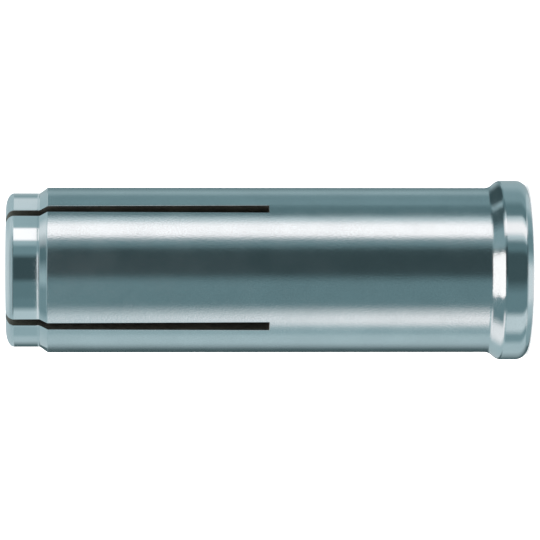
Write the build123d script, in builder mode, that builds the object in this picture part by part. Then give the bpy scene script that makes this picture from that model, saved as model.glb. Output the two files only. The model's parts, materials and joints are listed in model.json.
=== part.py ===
from build123d import *
import os
from math import atan, degrees, radians, tan

# Lipped drop-in anchor, M12 x 50, for a 16 mm hole.
# Millimetres. The anchor stands on the lip's mouth face: the origin is the centre of that face
# and +Z runs along the axis to the slotted nose. One leg of the nose faces -Y.

# Thread and bore
thread_diameter = 12.0
thread_pitch = 1.75
thread_length = 20.0
mouth_countersink = 0.9

# Sleeve, outside
sleeve_length = 50.0
sleeve_wall = 1.9
lip_overhang = 0.7
lip_height = 2.9
lip_cone_angle = 40.0
lip_fillet = 1.0
mouth_rounding = 1.15
nose_length = 3.25
nose_setback = 0.54
step_angle = 36.0
nose_rounding_length = 0.8
nose_rounding_depth = 1.45

# Sleeve, inside: the plug's chamber is bored narrower than the thread's core, which leaves a
# shoulder at the end of the thread, and tapers to a throat at the nose
chamber_shoulder = 0.275
chamber_past_slots = 2.0
throat_diameter = 6.6
throat_length = 3.6
throat_chamfer = 0.35

# Slots, sawn straight across from the nose, so that each cut makes two
saw_cuts = 2
first_saw_angle = 45.0
slot_length = 25.0
slot_root_width = 1.0
slot_tip_width = 0.75

# Expander plug
plug_clearance = 0.1
plug_seat_gap = 0.02
plug_straight_length = 5.0
plug_taper_length = 9.0
plug_end_chamfer = 0.4

# Worked out from the sizes above
bore_radius = (thread_diameter - thread_pitch) / 2
chamber_radius = bore_radius - chamber_shoulder
throat_radius = throat_diameter / 2
body_radius = thread_diameter / 2 + sleeve_wall
lip_radius = body_radius + lip_overhang
nose_radius = body_radius - nose_setback

lip_cone_top = lip_height + lip_overhang / tan(radians(lip_cone_angle))
nose_foot = sleeve_length - nose_length
step_bottom = nose_foot - nose_setback / tan(radians(step_angle))
nose_rounding_start = sleeve_length - nose_rounding_length

slot_root = sleeve_length - slot_length
chamber_end = slot_root + chamber_past_slots
throat_start = sleeve_length - throat_length
taper_slope = (chamber_radius - throat_radius) / (throat_start - chamber_end)

plug_radius = chamber_radius - plug_clearance
plug_shoulder = chamber_end + (plug_clearance - plug_seat_gap) / taper_slope
plug_top = plug_shoulder - plug_straight_length
plug_tip = plug_shoulder + plug_taper_length
plug_tip_radius = plug_radius - plug_taper_length * taper_slope

# The saw leaves the nose a little beyond its end, still narrowing
saw_overshoot = 2.0
slot_narrowing = (slot_root_width - slot_tip_width) / slot_length
saw_exit_width = slot_tip_width - slot_narrowing * saw_overshoot
saw_planes = [
    Plane.XZ.rotated((0, 0, first_saw_angle + 180 / saw_cuts * cut)) for cut in range(saw_cuts)
]

os.makedirs("parts", exist_ok=True)


def corner(section, radius, height):
    """The section's corner nearest to this radius and height."""
    return section.vertices().sort_by_distance((radius, height))[0]


# Sleeve: a half section turned about the axis, then slotted
with BuildPart() as sleeve:
    with BuildSketch(Plane.XZ) as sleeve_section:
        with BuildLine():
            inside = Polyline(
                (nose_radius - nose_rounding_depth, sleeve_length),
                (throat_radius + throat_chamfer, sleeve_length),
                (throat_radius, sleeve_length - throat_chamfer),
                (throat_radius, throat_start),
                (chamber_radius, chamber_end),
                (chamber_radius, thread_length),
                (bore_radius, thread_length),
                (bore_radius, mouth_countersink),
                (bore_radius + mouth_countersink, 0),
            )
            Polyline(
                inside @ 1,
                (lip_radius, 0),
                (lip_radius, lip_height),
                (body_radius, lip_cone_top),
                (body_radius, step_bottom),
                (nose_radius, nose_foot),
                (nose_radius, nose_rounding_start),
            )
            EllipticalCenterArc(
                center=(nose_radius - nose_rounding_depth, nose_rounding_start),
                x_radius=nose_rounding_depth,
                y_radius=nose_rounding_length,
                start_angle=0,
                arc_size=90,
            )
        make_face()
        fillet(corner(sleeve_section, lip_radius, 0), mouth_rounding)
        fillet(corner(sleeve_section, lip_radius, lip_height), lip_fillet)
        fillet(corner(sleeve_section, body_radius, lip_cone_top), lip_fillet)
    revolve(axis=Axis.Z)

    with BuildSketch(*saw_planes):
        with BuildLine():
            Polyline(
                (-slot_root_width / 2, slot_root),
                (slot_root_width / 2, slot_root),
                (saw_exit_width / 2, sleeve_length + saw_overshoot),
                (-saw_exit_width / 2, sleeve_length + saw_overshoot),
                close=True,
            )
        make_face()
    extrude(amount=lip_radius, both=True, mode=Mode.SUBTRACT)

sleeve.part.label = "sleeve"
export_step(sleeve.part, "parts/sleeve.step")

# Expander plug: turned to the sleeve's own taper and seated in its wide end
with BuildPart() as expander_plug:
    with BuildSketch(Plane.XZ) as plug_section:
        with BuildLine():
            Polyline(
                (0, plug_top),
                (plug_radius, plug_top),
                (plug_radius, plug_shoulder),
                (plug_tip_radius, plug_tip),
                (0, plug_tip),
                close=True,
            )
        make_face()
        chamfer(corner(plug_section, plug_radius, plug_top), plug_end_chamfer)
        chamfer(corner(plug_section, plug_tip_radius, plug_tip), plug_end_chamfer)
    revolve(axis=Axis.Z)

expander_plug.part.label = "expander_plug"
export_step(expander_plug.part, "parts/expander_plug.step")

print("body diameter", 2 * body_radius, "lip diameter", 2 * lip_radius)
print("thread core radius", bore_radius, "chamber radius", chamber_radius)
print("taper half angle", round(degrees(atan(taper_slope)), 2))
print("plug from", round(plug_top, 2), "to", round(plug_tip, 2))
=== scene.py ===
import json
import math

import bmesh
import bpy
from mathutils import Matrix, Vector


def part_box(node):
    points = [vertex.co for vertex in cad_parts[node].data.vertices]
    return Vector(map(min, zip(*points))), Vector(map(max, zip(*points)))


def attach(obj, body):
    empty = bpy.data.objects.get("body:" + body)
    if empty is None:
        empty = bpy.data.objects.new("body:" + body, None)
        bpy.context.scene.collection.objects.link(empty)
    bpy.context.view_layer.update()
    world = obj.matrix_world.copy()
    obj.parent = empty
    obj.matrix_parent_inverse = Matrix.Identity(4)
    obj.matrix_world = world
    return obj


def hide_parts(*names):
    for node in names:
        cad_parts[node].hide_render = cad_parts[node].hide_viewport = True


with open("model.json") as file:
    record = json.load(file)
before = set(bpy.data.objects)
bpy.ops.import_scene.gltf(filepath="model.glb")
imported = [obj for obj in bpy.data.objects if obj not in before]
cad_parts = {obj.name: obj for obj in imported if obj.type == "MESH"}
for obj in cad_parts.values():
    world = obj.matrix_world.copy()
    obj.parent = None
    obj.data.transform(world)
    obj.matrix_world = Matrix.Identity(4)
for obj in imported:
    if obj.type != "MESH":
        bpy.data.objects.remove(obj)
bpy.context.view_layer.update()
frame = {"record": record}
mounts = {m["name"]: m["dims"] for m in frame["record"]["mounts"]}

# The anchor stands on its mouth face with its axis on +Z, and one leg of its nose faces -Y.
# Sizes are in millimetres unless they say otherwise, and MM makes them metres.
MM = 0.001
sleeve_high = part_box("sleeve")[1]
plug_low, plug_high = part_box("expander_plug")

# Sleeve, outside
length = sleeve_high.z / MM
body_radius = mounts["anchor_body"]["r_mm"]
lip_radius = sleeve_high.x / MM
lip_height = 2.9
lip_cone_angle = math.radians(40)
lip_cone_top = lip_height + (lip_radius - body_radius) / math.tan(lip_cone_angle)
lip_fillet = 1.0
lip_hollow = 1.0
mouth_rounding = 1.15
nose_length = 3.25
nose_setback = 0.54
nose_rounding_length = 0.8
nose_rounding_depth = 1.45
nose_radius = body_radius - nose_setback
nose_foot = length - nose_length
step_angle = math.radians(36)
step_foot = nose_foot - nose_setback / math.tan(step_angle)
step_hollow = 0.15
step_edge = 0.12

# Thread and bore
core_radius = mounts["thread"]["r_mm"]
mouth_countersink = 0.9
thread_end = mouth_countersink + mounts["thread"]["length_mm"]
thread_pitch = 1.75
thread_depth = 0.875
thread_flank_angle = math.radians(30)
thread_fade = 2.6
thread_plain_end = 0.3

# Slots
legs = 4
half_leg = math.pi / legs
slot_length = length / 2
slot_root = length - slot_length
slot_root_width = 1.0
slot_tip_width = 0.75
slot_edge = 0.045

# Chamber, taper and throat
chamber_shoulder = 0.275
chamber_past_slots = 2.0
chamber_radius = core_radius - chamber_shoulder
chamber_end = slot_root + chamber_past_slots
throat_radius = 3.3
throat_length = 3.6
throat_start = length - throat_length
throat_chamfer = 0.35
throat_edge = 0.1
taper_slope = (chamber_radius - throat_radius) / (throat_start - chamber_end)

# Expander plug
plug_radius = plug_high.x / MM
plug_bottom, plug_top = plug_low.z / MM, plug_high.z / MM
plug_straight_length = 5.0
plug_shoulder = plug_bottom + plug_straight_length
plug_tip_radius = plug_radius - (plug_top - plug_shoulder) * taper_slope
plug_chamfer = 0.4
plug_edge = 0.12
plug_shoulder_rounding = 0.5

# Meshes: how many columns and steps there are, and how far apart rows and an arc's points are
LEG_COLUMNS = 48
EDGE_COLUMN = 0.995
SLOT_COLUMNS = 4
PLUG_COLUMNS = 96
EDGE_STEPS = 3
NOSE_STEPS = 16
ARC_TURN = math.radians(7)
ROW_STEP = 1.5
ROW_LEAD = 0.05

# Lines that follow each other end a seam apart, and closer points are welded. A leg's first
# full row is a little above the slot's end.
SEAM = 0.001
WELD = 0.0004
SLIVER = 0.0002
SAME = 0.0001
SHARP = math.radians(35)
leg_start = slot_root + 0.15

# Places of the sleeve's materials. The sawn and threaded places inside get darker colours, which
# are partly painted shade of the slots and the bore.
PLATED, SAWN, THREADED = range(3)


def put(name, data):
    """An object with this data, in the scene."""
    made = bpy.data.objects.new(name, data)
    bpy.context.scene.collection.objects.link(made)
    return made


# Camera, in metres: side on, the nose to the left, so the picture's right is -Z and its top is
# near +X
camera_distance = 0.45
camera_turn = math.radians(2.35)
camera_height = 0.04194
aim_height = 0.0247
picture_width = 0.05184

away = Vector((-math.sin(camera_turn), -math.cos(camera_turn), 0))
up = Vector((math.cos(camera_turn), -math.sin(camera_turn), 0))
eye = away * camera_distance + Vector((0, 0, camera_height))
aim = Vector((0, 0, aim_height))
back = (eye - aim).normalized()
right = up.cross(back).normalized()
axes = Matrix((right, back.cross(right), back)).transposed().to_4x4()

lens = bpy.data.cameras.new("camera")
lens.sensor_width = 36.0
lens.lens = lens.sensor_width * (eye - aim).length / picture_width
camera = put("camera", lens)
camera.matrix_world = Matrix.Translation(eye) @ axes
bpy.context.scene.camera = camera


# Mesh helpers
def rounded(corners):
    """A line through (radius, height, rounding) corners, each rounding drawn as an arc."""
    line = []
    for i, (r, z, rounding) in enumerate(corners):
        here = Vector((r, z))
        if not rounding:
            line.append(here)
            continue
        before = (Vector(corners[i - 1][:2]) - here).normalized()
        after = (Vector(corners[i + 1][:2]) - here).normalized()
        half = before.angle(after) / 2
        centre = here + (before + after).normalized() * rounding / math.sin(half)
        first = here + before * rounding / math.tan(half) - centre
        last = here + after * rounding / math.tan(half) - centre
        start = math.atan2(first.y, first.x)
        sweep = (math.atan2(last.y, last.x) - start + math.pi) % (2 * math.pi) - math.pi
        steps = max(3, round(abs(sweep) / ARC_TURN))
        for j in range(steps + 1):
            a = start + sweep * j / steps
            line.append(centre + Vector((math.cos(a), math.sin(a))) * rounding)
    return line


def divided(line):
    """The same line with long runs divided, and a point close to each end of a run."""
    made = [line[0]]
    for p, q in zip(line, line[1:]):
        gap = (q - p).length
        if gap > 6 * ROW_LEAD:
            count = max(1, round(gap / ROW_STEP))
            inner = [j / count for j in range(1, count)]
            for f in [ROW_LEAD / gap, *inner, 1 - ROW_LEAD / gap]:
                made.append(p.lerp(q, f))
        made.append(q)
    return made


class Shell:
    """Grids of points that become one welded mesh."""

    def __init__(self):
        self.points, self.faces, self.slots = [], [], []

    def grid(self, rows, slot=0, closed=False):
        first, width = len(self.points), len(rows[0])
        for row in rows:
            self.points.extend(row)
        for i in range(len(rows) - 1):
            for j in range(width if closed else width - 1):
                a, b = first + i * width + j, first + i * width + (j + 1) % width
                self.faces.append((a, b, b + width, a + width))
                self.slots.append(slot)

    def polygon(self, points, slot=0):
        first = len(self.points)
        self.points.extend(points)
        self.faces.append(tuple(range(first, len(self.points))))
        self.slots.append(slot)

    def make(self, name, materials):
        mesh = bpy.data.meshes.new(name)
        mesh.from_pydata([p * MM for p in self.points], [], self.faces)
        for finish in materials:
            mesh.materials.append(finish)
        mesh.polygons.foreach_set("material_index", self.slots)
        bm = bmesh.new()
        bm.from_mesh(mesh)
        bmesh.ops.remove_doubles(bm, verts=bm.verts, dist=WELD * MM)
        bmesh.ops.dissolve_degenerate(bm, edges=bm.edges, dist=SLIVER * MM)
        bmesh.ops.recalc_face_normals(bm, faces=bm.faces)
        print(name, "open edges", sum(not e.is_manifold for e in bm.edges))
        bm.to_mesh(mesh)
        bm.free()
        mesh.polygons.foreach_set("use_smooth", [True] * len(mesh.polygons))
        mesh.set_sharp_from_angle(angle=SHARP)
        mesh.update()
        return put(name, mesh)


def at(radius, angle, height):
    return Vector((radius * math.cos(angle), radius * math.sin(angle), height))


# Material helpers. A noise's scale is how fine it is: its features for each metre.
class Nodes:
    """A node tree, emptied, with short calls for what is built in it."""

    def __init__(self, tree):
        self.tree = tree
        tree.nodes.clear()

    def add(self, kind, inputs=(), **settings):
        node = self.tree.nodes.new(kind)
        for key, value in settings.items():
            setattr(node, key, value)
        for key, value in dict(inputs).items():
            socket = node.inputs[key]
            if isinstance(value, bpy.types.NodeSocket):
                self.tree.links.new(value, socket)
            else:
                socket.default_value = value
        return node

    def output(self, shader, kind="ShaderNodeOutputMaterial"):
        self.tree.links.new(shader.outputs[0], self.add(kind).inputs[0])

    def place(self, space="Object"):
        return self.add("ShaderNodeTexCoord").outputs[space]

    def parts(self, vector):
        return self.add("ShaderNodeSeparateXYZ", {0: vector}).outputs

    def math(self, operation, *values):
        return self.add("ShaderNodeMath", enumerate(values), operation=operation).outputs[0]

    def span(self, value, low, high, to_low=0.0, to_high=1.0, smooth=True):
        kind = "SMOOTHSTEP" if smooth else "LINEAR"
        inputs = {"Value": value, 1: low, 2: high, 3: to_low, 4: to_high}
        return self.add("ShaderNodeMapRange", inputs, interpolation_type=kind).outputs[0]

    def rise(self, height, start, end, before=0.0, after=1.0):
        """before up to start and after past end, which are heights in millimetres."""
        return self.span(height, start * MM, end * MM, before, after)

    def noise(self, vector, scale, detail=2.0):
        inputs = {"Vector": vector, "Scale": scale, "Detail": detail}
        return self.add("ShaderNodeTexNoise", inputs).outputs[0]

    def speckle(self, vector, scale, detail, low, high):
        """Noise between about low and high, spread evenly."""
        return self.span(self.noise(vector, scale, detail), 0.3, 0.7, low, high, smooth=False)

    def bump(self, height, strength, depth, **under):
        inputs = {"Height": height, "Strength": strength, "Distance": depth * MM, **under}
        return self.add("ShaderNodeBump", inputs).outputs[0]

    def mix(self, factor, a, b):
        return self.add("ShaderNodeMix", {0: factor, 6: a, 7: b}, data_type="RGBA").outputs[2]


def material(name):
    made = bpy.data.materials.new(name)
    made.use_nodes = True
    return made, Nodes(made.node_tree)


def drift(n, place, low=0.0, high=1.0):
    """A slow change of shade along the metal."""
    return n.span(n.noise(place, 260.0, 4.0), 0.35, 0.65, low, high)


def steel(name, light, dark, rough, grain, shade=drift):
    """Metal shaded between light and dark; rough and grain make its roughness and relief."""
    made, n = material(name)
    place = n.place()
    colour = n.mix(shade(n, place), (*light, 1), (*dark, 1))
    inputs = {"Base Color": colour, "Metallic": 1.0, "Roughness": rough(n, place)}
    inputs["Normal"] = grain(n, place)
    n.output(n.add("ShaderNodeBsdfPrincipled", inputs))
    return made


# Plating. Where the lip ends, where the nose begins and where its end turns over, as heights
lip_fade = (lip_height + 0.2, lip_cone_top)
nose_fade = (step_foot - 0.1, step_foot + 0.3)
end_fade = (length - 0.85, length - 0.65)


def plating_roughness(n, place):
    """The nose is the brightest part, and its end and the body are duller."""
    height = n.parts(place)[2]
    body = n.rise(height, *nose_fade, 0.18, 0.08)
    lip = n.rise(height, *lip_fade, -0.05, 0.0)
    end = n.rise(height, *end_fade, 0.0, 0.3)
    speckle = n.speckle(place, 9000.0, 3.0, -0.03, 0.03)
    patches = n.speckle(place, 420.0, 3.0, -0.02, 0.02)
    regions = n.math("ADD", n.math("ADD", body, lip), end)
    return n.math("ADD", regions, n.math("ADD", speckle, patches))


def plating_share(n, place):
    """The body has all of the plating's grain, the lip half of it and the nose little."""
    height = n.parts(place)[2]
    nose = n.rise(height, *nose_fade, 1.0, 0.15)
    lip = n.rise(height, *lip_fade, 0.5, 1.0)
    return n.math("MULTIPLY", nose, lip)


def plating_shade(n, place):
    speckle = n.speckle(place, 8000.0, 2.0, -0.3, 0.3)
    grain = n.math("MULTIPLY", speckle, plating_share(n, place))
    return n.math("ADD", drift(n, place, 0.38, 0.62), grain)


def plating_grain(n, place):
    share = plating_share(n, place)
    waves = n.math("MULTIPLY", n.noise(place, 1400.0, 2.0), share)
    grains = n.math("MULTIPLY", n.noise(place, 6000.0, 1.0), share)
    return n.bump(grains, 1.0, 0.005, Normal=n.bump(waves, 1.0, 0.002))


# Sawn and bored steel, and the turned steel of the plug with its fine rings
turning_pitch = 0.16


def bore_roughness(n, place):
    return n.speckle(place, 3000.0, 3.0, 0.38, 0.52)


def bore_grain(n, place):
    return n.bump(n.noise(place, 4000.0, 3.0), 0.3, 0.01)


def turned_roughness(n, place):
    return n.speckle(place, 1500.0, 3.0, 0.28, 0.4)


def turned_grain(n, place):
    flat = n.add("ShaderNodeVectorMath", {0: place, 1: (1, 1, 0)}, operation="MULTIPLY")
    radius = n.add("ShaderNodeVectorMath", {0: flat.outputs[0]}, operation="LENGTH")
    along = n.math("ADD", radius.outputs["Value"], n.parts(place)[2])
    rings = n.math("SINE", n.math("MULTIPLY", along, 2 * math.pi / (turning_pitch * MM)))
    return n.bump(rings, 0.35, 0.004)


plating = steel(
    "zinc_plating", (0.7, 0.9, 0.955), (0.59, 0.76, 0.81),
    plating_roughness, plating_grain, plating_shade,
)
# Sawn and bored steel for the slot walls and the chamber. Its dark tone is partly its own colour
# and partly painted shade, which makes the deep slots look dark.
sawn_steel_and_slot_shade = steel(
    "sawn_steel_and_slot_shade", (0.4, 0.42, 0.385), (0.32, 0.335, 0.31), bore_roughness, bore_grain,
)
# Zinc plating of the thread. It is duller than the plating outside, and its colour is a darker
# copy of it: painted shade of the bore.
thread_plating_and_bore_shade = steel(
    "thread_plating_and_bore_shade", (0.5, 0.6, 0.62), (0.42, 0.5, 0.52), bore_roughness, bore_grain,
)
plug_steel = steel(
    "plug_steel", (0.46, 0.47, 0.48), (0.4, 0.41, 0.42), turned_roughness, turned_grain,
)


# Sleeve: columns run round it, a leg's and then those of the slot after it
inner_spread = [2 * j / LEG_COLUMNS - 1 for j in range(1, LEG_COLUMNS)]
leg_spread = [-1.0, -EDGE_COLUMN, *inner_spread, EDGE_COLUMN, 1.0]
slot_spread = [2 * j / SLOT_COLUMNS - 1 for j in range(SLOT_COLUMNS + 1)]
edge_turns = [j / EDGE_STEPS * math.pi / 2 for j in range(EDGE_STEPS + 1)]
leg_and_slot = len(leg_spread) + SLOT_COLUMNS - 1
columns = legs * leg_and_slot


def leg_middle(leg):
    return 2 * half_leg * leg - math.pi / 2


def around(column, radius):
    """The angle of a column that follows the slots' width at their ends."""
    leg, place = divmod(column, leg_and_slot)
    edge = math.asin((slot_root_width / 2 + slot_edge) / radius)
    if place < len(leg_spread):
        return leg_middle(leg) + leg_spread[place] * (half_leg - edge)
    return leg_middle(leg) + half_leg + edge * slot_spread[place - len(leg_spread) + 1]


def ring(radius, height):
    """One row right round."""
    return [at(radius, around(column, radius), height) for column in range(columns)]


def slot_half_width(height):
    past = max(0.0, height - slot_root) / slot_length
    return (slot_root_width + (slot_tip_width - slot_root_width) * past) / 2


# A leg's line runs from the slot's end up the outside, over the nose and down the inside
leg_outside = rounded([
    (body_radius, leg_start, 0),
    (body_radius, step_foot, step_edge),
    (nose_radius, nose_foot, step_hollow),
    (nose_radius, length - nose_rounding_length - SEAM, 0),
])
nose_curve = [
    Vector((
        nose_radius - nose_rounding_depth * (1 - math.cos(a)),
        length - nose_rounding_length * (1 - math.sin(a)),
    ))
    for a in (math.pi / 2 * j / NOSE_STEPS for j in range(NOSE_STEPS + 1))
]
leg_inside = rounded([
    (nose_radius - nose_rounding_depth - SEAM, length, 0),
    (throat_radius + throat_chamfer, length, throat_edge),
    (throat_radius, length - throat_chamfer, throat_edge),
    (throat_radius, throat_start, 0),
    (chamber_radius, chamber_end, 0),
    (chamber_radius, leg_start, 0),
])
leg_line = [
    Vector((body_radius, slot_root - slot_edge)),
    *divided(leg_outside + nose_curve + leg_inside),
    Vector((chamber_radius, slot_root - slot_edge)),
]
leg_end = len(leg_line) - 1
plated_rows = max(i for i, p in enumerate(leg_line) if p.y > length - SAME) + 1
inward = []
for i in range(leg_end + 1):
    run = leg_line[min(i + 1, leg_end)] - leg_line[max(i - 1, 0)]
    inward.append(Vector((-run.y, run.x)).normalized())


def leg_row(i, middle):
    """A leg's row at one point of its line, rounded over into the slots on both sides."""
    here = leg_line[i]
    half_width = slot_half_width(here.y)
    side = []
    for a in edge_turns[1:]:
        spot = here + inward[i] * slot_edge * (1 - math.cos(a))
        if i in (0, leg_end):
            spot.y += slot_edge * math.sin(a)
        gap = half_width + slot_edge * (1 - math.sin(a))
        side.append((spot, half_leg - math.asin(gap / spot.x)))
    reach = half_leg - math.asin((half_width + slot_edge) / here.x)
    row = [at(p.x, middle - a, p.y) for p, a in reversed(side)]
    row += [at(here.x, middle + s * reach, here.y) for s in leg_spread]
    return row + [at(p.x, middle + a, p.y) for p, a in side]


def slot_end(middle):
    """A slot's closed end, rounded into the outside and the chamber."""
    rows = []
    for radius, sign in ((body_radius, -1), (chamber_radius, 1)):
        part = []
        for a in edge_turns:
            r = radius + sign * slot_edge * (1 - math.cos(a))
            gap = math.asin((slot_root_width / 2 + slot_edge * (1 - math.sin(a))) / r)
            z = slot_root - slot_edge * (1 - math.sin(a))
            part.append([at(r, middle + s * gap, z) for s in slot_spread])
        rows += part if sign < 0 else reversed(part)
    return rows


# The thread's groove as (rise, depth) along one pitch. Its rows follow the helix from below the
# mouth, and flatten into the countersink and the plain end of the thread.
flank = thread_depth * math.tan(thread_flank_angle)
root_flat = thread_pitch / 8
crest_flat = thread_pitch - root_flat - 2 * flank
root_end = crest_flat + flank + root_flat
thirds = (1 / 3, 2 / 3, 1)
groove = [(0, 0), (crest_flat / 2, 0), (crest_flat, 0)]
groove += [(crest_flat + flank * f, thread_depth * f) for f in thirds]
groove += [(root_end + flank * (1 - f), thread_depth * f) for f in reversed(thirds)]
turns_below = 2
turns = math.ceil(thread_end / thread_pitch) + turns_below
first_column = around(0, core_radius)
turned_by = [around(column, core_radius) - first_column for column in range(columns)]
turned_by.append(2 * math.pi)


def thread_point(step, column):
    turn, place = divmod(step, len(groove))
    rise, depth = groove[place]
    turn += turned_by[column] / (2 * math.pi) - turns_below
    z = min(max(thread_pitch * turn + rise, 0.0), thread_end)
    fade = min(1.0, max(0.0, (thread_end - z - thread_plain_end) / thread_fade))
    r = max(core_radius + depth * fade, core_radius + mouth_countersink - z)
    return at(r, around(column % columns, r), z)


outside = divided(rounded([
    (core_radius + mouth_countersink, 0, 0),
    (lip_radius, 0, mouth_rounding),
    (lip_radius, lip_height, lip_fillet),
    (body_radius, lip_cone_top, lip_hollow),
    (body_radius, slot_root - slot_edge, 0),
]))
chamber = divided([
    Vector((core_radius, thread_end)),
    Vector((chamber_radius, thread_end)),
    Vector((chamber_radius, slot_root - slot_edge)),
])

sleeve = Shell()
for leg in range(legs):
    middle = leg_middle(leg)
    rows = [leg_row(i, middle) for i in range(leg_end + 1)]
    sleeve.grid(rows[:plated_rows], PLATED)
    sleeve.grid(rows[plated_rows - 1:], SAWN)
    sleeve.polygon([row[0] for row in rows], SAWN)
    sleeve.polygon([row[-1] for row in rows], SAWN)
    sleeve.grid(slot_end(middle + half_leg), SAWN)
sleeve.grid([ring(p.x, p.y) for p in outside], PLATED, closed=True)
sleeve.grid([ring(p.x, p.y) for p in chamber], SAWN, closed=True)
sleeve.grid([
    [thread_point(step, column) for column in range(columns + 1)]
    for step in range(turns * len(groove) + 1)
], THREADED)
sleeve_piece = sleeve.make("sleeve_detail", [plating, sawn_steel_and_slot_shade, thread_plating_and_bore_shade])
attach(sleeve_piece, "root")
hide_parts("sleeve")

# Expander plug
plug_line = divided(rounded([
    (0, plug_bottom, 0),
    (plug_radius - plug_chamfer, plug_bottom, plug_edge),
    (plug_radius, plug_bottom + plug_chamfer, plug_edge),
    (plug_radius, plug_shoulder, plug_shoulder_rounding),
    (plug_tip_radius, plug_top - plug_chamfer, plug_edge),
    (plug_tip_radius - plug_chamfer, plug_top, plug_edge),
    (0, plug_top, 0),
]))
plug_angles = [2 * math.pi * j / PLUG_COLUMNS for j in range(PLUG_COLUMNS)]
plug = Shell()
plug.grid([[at(p.x, angle, p.y) for angle in plug_angles] for p in plug_line], closed=True)
plug_piece = plug.make("plug_detail", [plug_steel])
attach(plug_piece, "root")
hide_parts("expander_plug")


# Floor, with its radius in metres. A soft overhead sun lights it, and the metal mirrors neither
# of them: it mirrors the card, the strips and the world below.
floor_radius = 1.5
FLOOR_SIDES = 64
floor_mesh = bpy.data.meshes.new("floor")
floor_turns = [2 * math.pi * j / FLOOR_SIDES for j in range(FLOOR_SIDES)]
floor_rim = [at(floor_radius, angle, 0) for angle in floor_turns]
floor_mesh.from_pydata(floor_rim, [], [tuple(range(FLOOR_SIDES))])
paper, n = material("pale_floor")
clouds = n.span(n.noise(n.place(), 30.0, 3.0), 0.3, 0.7)
n.output(n.add("ShaderNodeBsdfPrincipled", {
    "Base Color": n.mix(clouds, (0.9, 0.9, 0.9, 1), (0.88, 0.88, 0.88, 1)),
    "Roughness": 0.9,
    "Specular IOR Level": 0.0,
    "Emission Color": (1, 1, 1, 1),
    "Emission Strength": 0.55,
}))
floor_mesh.materials.append(paper)
floor = put("floor", floor_mesh)
floor.visible_glossy = False

overhead = bpy.data.lights.new("overhead", "SUN")
overhead.angle = math.radians(100)
overhead.energy = 4.2
sun = put("overhead", overhead)
sun.location = (0, 0, 1)
sun.visible_glossy = False


def lamp(name, points, faces, paint, strength):
    """A glowing surface that only the metal sees; paint gives its colour."""
    mesh = bpy.data.meshes.new(name)
    mesh.from_pydata([p * MM for p in points], [], faces)
    glow, n = material(name)
    n.output(n.add("ShaderNodeEmission", {"Color": paint(n), "Strength": strength}))
    mesh.materials.append(glow)
    piece = put(name, mesh)
    piece.visible_camera = piece.visible_diffuse = piece.visible_shadow = False


# A white card between the camera and the nose, which the lip's cone mirrors. Its near and far
# edges are (towards the camera, height, down in the picture, up in the picture).
card_near = (16, 70, -27, 16)
card_far = (350, 120, -235, 135)
card_colour = (1.0, 0.79, 0.745, 1)
card_strength = 1.5
card_edges = [
    [away * toward + up * side + Vector((0, 0, height)) for side in (low, high)]
    for toward, height, low, high in (card_near, card_far)
]
card_corners = [*card_edges[0], *reversed(card_edges[1])]
lamp("card", card_corners, [(0, 1, 2, 3)], lambda n: card_colour, card_strength)

# Studio. A zone is a name, where it starts and ends, and its level, and between zones the level
# changes evenly. Its place is the degrees, round the anchor from the camera's side, of the
# surface that mirrors it to the camera, so that its band runs straight along the metal. Up in
# the picture is positive.
LEVEL = [
    ("far side, low", -90, -74, 0.1),
    ("white wall", -62, -52.5, 0.535),
    ("white wall, near part", -49.8, -44.8, 0.415),
    ("strip box", -39.2, -35, 0.59),
    ("grey wall", -25, -8.5, 0.222),
    ("black flag at the camera", -2.5, 14, 0.06),
    ("key box, inner fringe", 18.3, 21.6, 0.25),
    ("key box", 24.8, 33, 1.16),
    ("key box, outer fringe", 37, 38.6, 0.6),
    ("gap beyond the key box", 41.3, 49.3, 0.18),
    ("grey wall's foot", 52.5, 54.5, 0.3),
    ("grey wall, upper", 58, 63, 0.275),
    ("light rail", 68, 70.5, 0.43),
    ("far side, high", 76, 90, 0.26),
]
STRIP_BOX_BY_MOUTH = 0.99
MOUTH_SIDE = [
    (*zone[:3], STRIP_BOX_BY_MOUTH) if zone[0] == "strip box" else zone for zone in LEVEL
]
HOLLOW = [
    ("white wall", -90, -57, 0.5),
    ("strip box, widening", -47, -31.5, 0.95),
    ("grey wall", -26.5, -12, 0.23),
    ("black flag", -4, 12.5, 0.066),
    ("ceiling's edge", 16.5, 21, 0.3),
    ("key box", 25, 31, 1.05),
    ("key box, outer fringe", 35, 36, 0.45),
    ("dark gap", 40, 44.5, 0.1),
    ("lamp stand", 48, 50, 0.26),
    ("dark corner", 54.5, 64, 0.075),
    ("grey wall, upper", 76, 90, 0.3),
]
RAISED = [
    ("white wall", -90, -60, 0.5),
    ("strip box, wide end", -51, -41, 0.92),
    ("grey wall", -34, -16, 0.24),
    ("black flag", -4, 12, 0.075),
    ("ceiling's edge", 15, 26, 0.36),
    ("dark gap", 34.5, 43.5, 0.09),
    ("lamp stand", 46.6, 48.2, 0.45),
    ("dark corner", 51.5, 68, 0.075),
    ("grey wall, upper", 79, 90, 0.42),
]
LOWERED = [
    ("dim wall", -90, -60, 0.34),
    ("dim wall, near part", -46, -40, 0.38),
    ("floor by the strip box", -32, -26, 0.55),
    ("floor in front", -19, 1, 0.76),
    ("floor's edge", 7, 9, 0.42),
    ("dim floor", 13, 24, 0.26),
    ("dim wall by the key box", 29, 38, 0.36),
    ("floor by the key box", 46, 66, 0.58),
    ("dim wall, upper", 84, 90, 0.4),
]
CEILING = 0.7

# LEVEL is what an upright surface mirrors. The others take over from it between two tilts, in
# degrees, of a surface that faces the nose's end (+) or the mouth (-).
TILTED = [
    (MOUTH_SIDE, 0.3, -2.6, False),
    (HOLLOW, 3, 8, True),
    (RAISED, 8, 19, True),
    (LOWERED, -22, -38, True),
]
CEILING_TILT = (39, 43)

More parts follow.
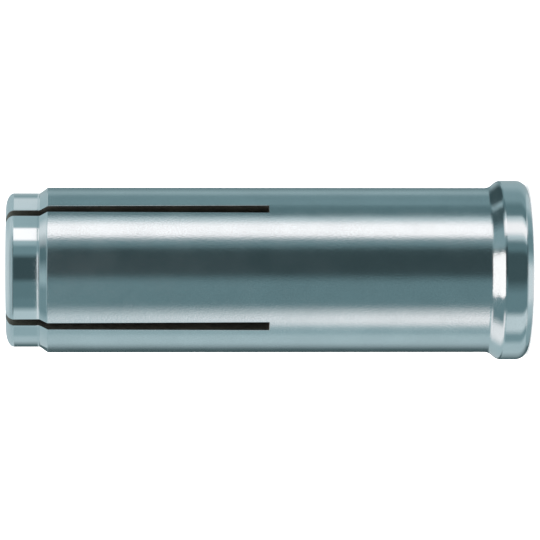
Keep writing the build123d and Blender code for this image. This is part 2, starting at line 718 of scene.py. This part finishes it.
# The nose and the lip mirror strips bent close round them. From below, the nose's strip has a
# pale foot, which the nose mirrors beside the step, its bands, and a hood for the nose's end
# and the step. The hood has a banded foot, a plain middle and a banded top.
NOSE_FOOT = [
    ("white wall", -90, -44, 0.5),
    ("strip box", -39, 9, 0.85),
    ("grey wall, upper", 14, 45, 0.38),
    ("white wall, upper", 55, 90, 0.6),
]
NOSE = [
    ("far side, low", -90, -77, 0.14),
    ("white wall", -67, -61, 0.53),
    ("white wall, near part", -57, -48, 0.43),
    ("strip box", -44, -32.9, 0.6),
    ("grey wall, lighter end", -28, -23, 0.222),
    ("grey wall", -19.5, -9.7, 0.2),
    ("black flag at the camera", -6, 8.5, 0.078),
    ("key box, inner fringe", 12.5, 17.2, 0.275),
    ("key box, lower rim", 19.7, 21.7, 0.47),
    ("key box", 23.2, 32, 1.2),
    ("gap beyond the key box", 33.3, 46, 0.44),
    ("white wall, upper", 53, 66, 0.7),
    ("dark rim", 71.5, 74, 0.37),
    ("far side, high", 79, 90, 0.48),
]
HOOD_FOOT = [
    ("white wall", -90, -38, 0.5),
    ("grey wall", -32, 17, 0.17),
    ("key box, inner fringe", 22, 25, 0.32),
    ("key box", 29.5, 34, 0.7),
    ("white wall, upper", 40, 90, 0.5),
]
HOOD_MIDDLE = 0.56
HOOD = [
    ("far side, low", -90, -68, 0.55),
    ("white wall", -60, -52, 0.5),
    ("grey wall", -44, -23, 0.28),
    ("floor, bright patch", -13, -6, 0.45),
    ("black flag", 13, 25, 0.17),
    ("key box", 40, 45, 0.8),
    ("white wall, upper", 52, 90, 0.5),
]
LIP = [
    ("far side, low", -90, -80, 0.14),
    ("white wall", -66, -56, 0.54),
    ("gap below the strip box", -50.8, -46.3, 0.31),
    ("strip box", -41.2, -31.8, 0.69),
    ("grey wall", -27.6, -15.5, 0.232),
    ("black flag at the camera", -6.5, 10, 0.088),
    ("key box, inner fringe", 13.5, 17.5, 0.2),
    ("key box, lower shoulder", 20.8, 21.6, 0.64),
    ("key box", 25, 30.2, 1.07),
    ("key box, upper shoulder", 34.6, 35.3, 0.66),
    ("gap beyond the key box", 37.5, 45, 0.2),
    ("grey wall, upper", 51, 58, 0.335),
    ("far side, high", 67.5, 90, 0.45),
]

# Heights between which the parts of the nose's strip take over from each other. The hood's top
# starts higher by its lean for each millimetre towards the camera.
foot_fade = (nose_foot + 0.32, nose_foot + 0.28)
hood_fade = (length - 0.55, length - 0.45)
hood_middle_fade = (length + 3, length + 5)
hood_top_fade = (length + 1.6, length + 3)
hood_top_lean = 0.75

nose_strip_ends = (nose_foot + 0.08, length + 20)
lip_strip_ends = (-6.0, lip_height - 0.5)
strip_radius = 14.0
strip_reach = math.radians(150)
STRIP_COLUMNS = 100

# A ramp's colours stay below 1, so they are shares of this level
BRIGHTEST = 2.0

# Dim zones are cool. Bright ones are as warm as the plating is cool, so they look neutral on it.
DIM_TINT = Vector((0.7, 1.0, 1.05))
BRIGHT_TINT = Vector((1.26, 1.0, 0.96))
DIM_LEVEL, BRIGHT_LEVEL = 0.2, 1.0


def studio_colour(level):
    bright = min(1.0, max(0.0, level - DIM_LEVEL) / (BRIGHT_LEVEL - DIM_LEVEL))
    return (*DIM_TINT.lerp(BRIGHT_TINT, bright) * (level / BRIGHTEST), 1)


def band(n, share, zones, position):
    """A ramp over share with the zones' levels; position gives the share at some degrees."""
    ramp = n.add("ShaderNodeValToRGB", {0: share})
    elements = ramp.color_ramp.elements
    stops = [(edge, level) for _, start, end, level in zones for edge in (start, end)]
    for k, (degrees, level) in enumerate(stops):
        stop = elements[k] if k < 2 else elements.new(1.0)
        stop.position = position(degrees)
        stop.color = studio_colour(level)
    return ramp.outputs[0]


def studio_axes(n, vector):
    """The vector's parts out to the camera's side, up in the picture and along the anchor."""
    inputs = {"Vector": vector, "Rotation": (0, 0, math.pi / 2 + camera_turn)}
    return n.parts(n.add("ShaderNodeMapping", inputs, vector_type="POINT").outputs[0])


def strip(name, ends, radius, paint):
    """A strip between two heights, bent round a part of this radius; paint gives its colour."""

    def position(degrees):
        angle = math.radians(degrees)
        mirrored = 2 * angle - math.asin(radius * math.sin(angle) / strip_radius)
        return mirrored / (2 * math.pi) + 0.5

    def colour(n):
        toward, over, height = studio_axes(n, n.place())
        share = n.span(n.math("ARCTAN2", over, toward), -math.pi, math.pi, smooth=False)
        return paint(n, toward, height, lambda zones: band(n, share, zones, position))

    points = []
    for j in range(STRIP_COLUMNS + 1):
        angle = strip_reach * (2 * j / STRIP_COLUMNS - 1)
        spot = (away * math.cos(angle) + up * math.sin(angle)) * strip_radius
        points += [spot + Vector((0, 0, z)) for z in ends]
    faces = [(2 * j, 2 * j + 1, 2 * j + 3, 2 * j + 2) for j in range(STRIP_COLUMNS)]
    lamp(name, points, faces, colour, BRIGHTEST)


def nose_paint(n, toward, height, bands):
    leaning = n.math("MULTIPLY_ADD", toward, -hood_top_lean, height)
    low = n.mix(n.rise(height, *foot_fade), bands(NOSE), bands(NOSE_FOOT))
    middle = n.rise(height, *hood_middle_fade)
    hood = n.mix(middle, bands(HOOD_FOOT), studio_colour(HOOD_MIDDLE))
    hood = n.mix(n.rise(leaning, *hood_top_fade), hood, bands(HOOD))
    return n.mix(n.rise(height, *hood_fade), low, hood)


def lip_paint(n, toward, height, bands):
    return bands(LIP)


strip("nose_strip", nose_strip_ends, nose_radius, nose_paint)
strip("lip_strip", lip_strip_ends, lip_radius, lip_paint)

# The world. A direction is mirrored to the camera by the surface that faces halfway to it. The
# halfway part is kept just over 0, so that nothing is divided by 0. The camera sees a plain
# backdrop as bright as the floor, so that outlines look the same in front of both.
BACKDROP = 1.9
world = bpy.data.worlds.new("studio")
world.use_nodes = True
n = Nodes(world.node_tree)
toward, over, height = studio_axes(n, n.place("Generated"))
halfway = n.math("ADD", toward, 1.0001)
share = n.span(n.math("ARCTAN2", over, halfway), -math.pi / 2, math.pi / 2, smooth=False)
reach = n.math("SQRT", n.math("MULTIPLY", halfway, 2.0))
tilt = n.math("ARCSINE", n.math("DIVIDE", height, reach))


def turned_to(zones):
    return band(n, share, zones, lambda degrees: degrees / 180 + 0.5)


def tilted(start, end, smooth=True):
    return n.span(tilt, math.radians(start), math.radians(end), smooth=smooth)


lit = turned_to(LEVEL)
for zones, start, end, smooth in TILTED:
    lit = n.mix(tilted(start, end, smooth), lit, turned_to(zones))
lit = n.mix(tilted(*CEILING_TILT), lit, studio_colour(CEILING))
studio = n.add("ShaderNodeBackground", {"Color": lit, "Strength": BRIGHTEST})
plain = n.add("ShaderNodeBackground", {"Color": (1, 1, 1, 1), "Strength": BACKDROP})
seen = n.add("ShaderNodeLightPath").outputs["Is Camera Ray"]
n.output(n.add("ShaderNodeMixShader", {
    0: seen, 1: studio.outputs[0], 2: plain.outputs[0],
}), "ShaderNodeOutputWorld")
bpy.context.scene.world = world
bpy.context.scene.view_settings.view_transform = "Standard"
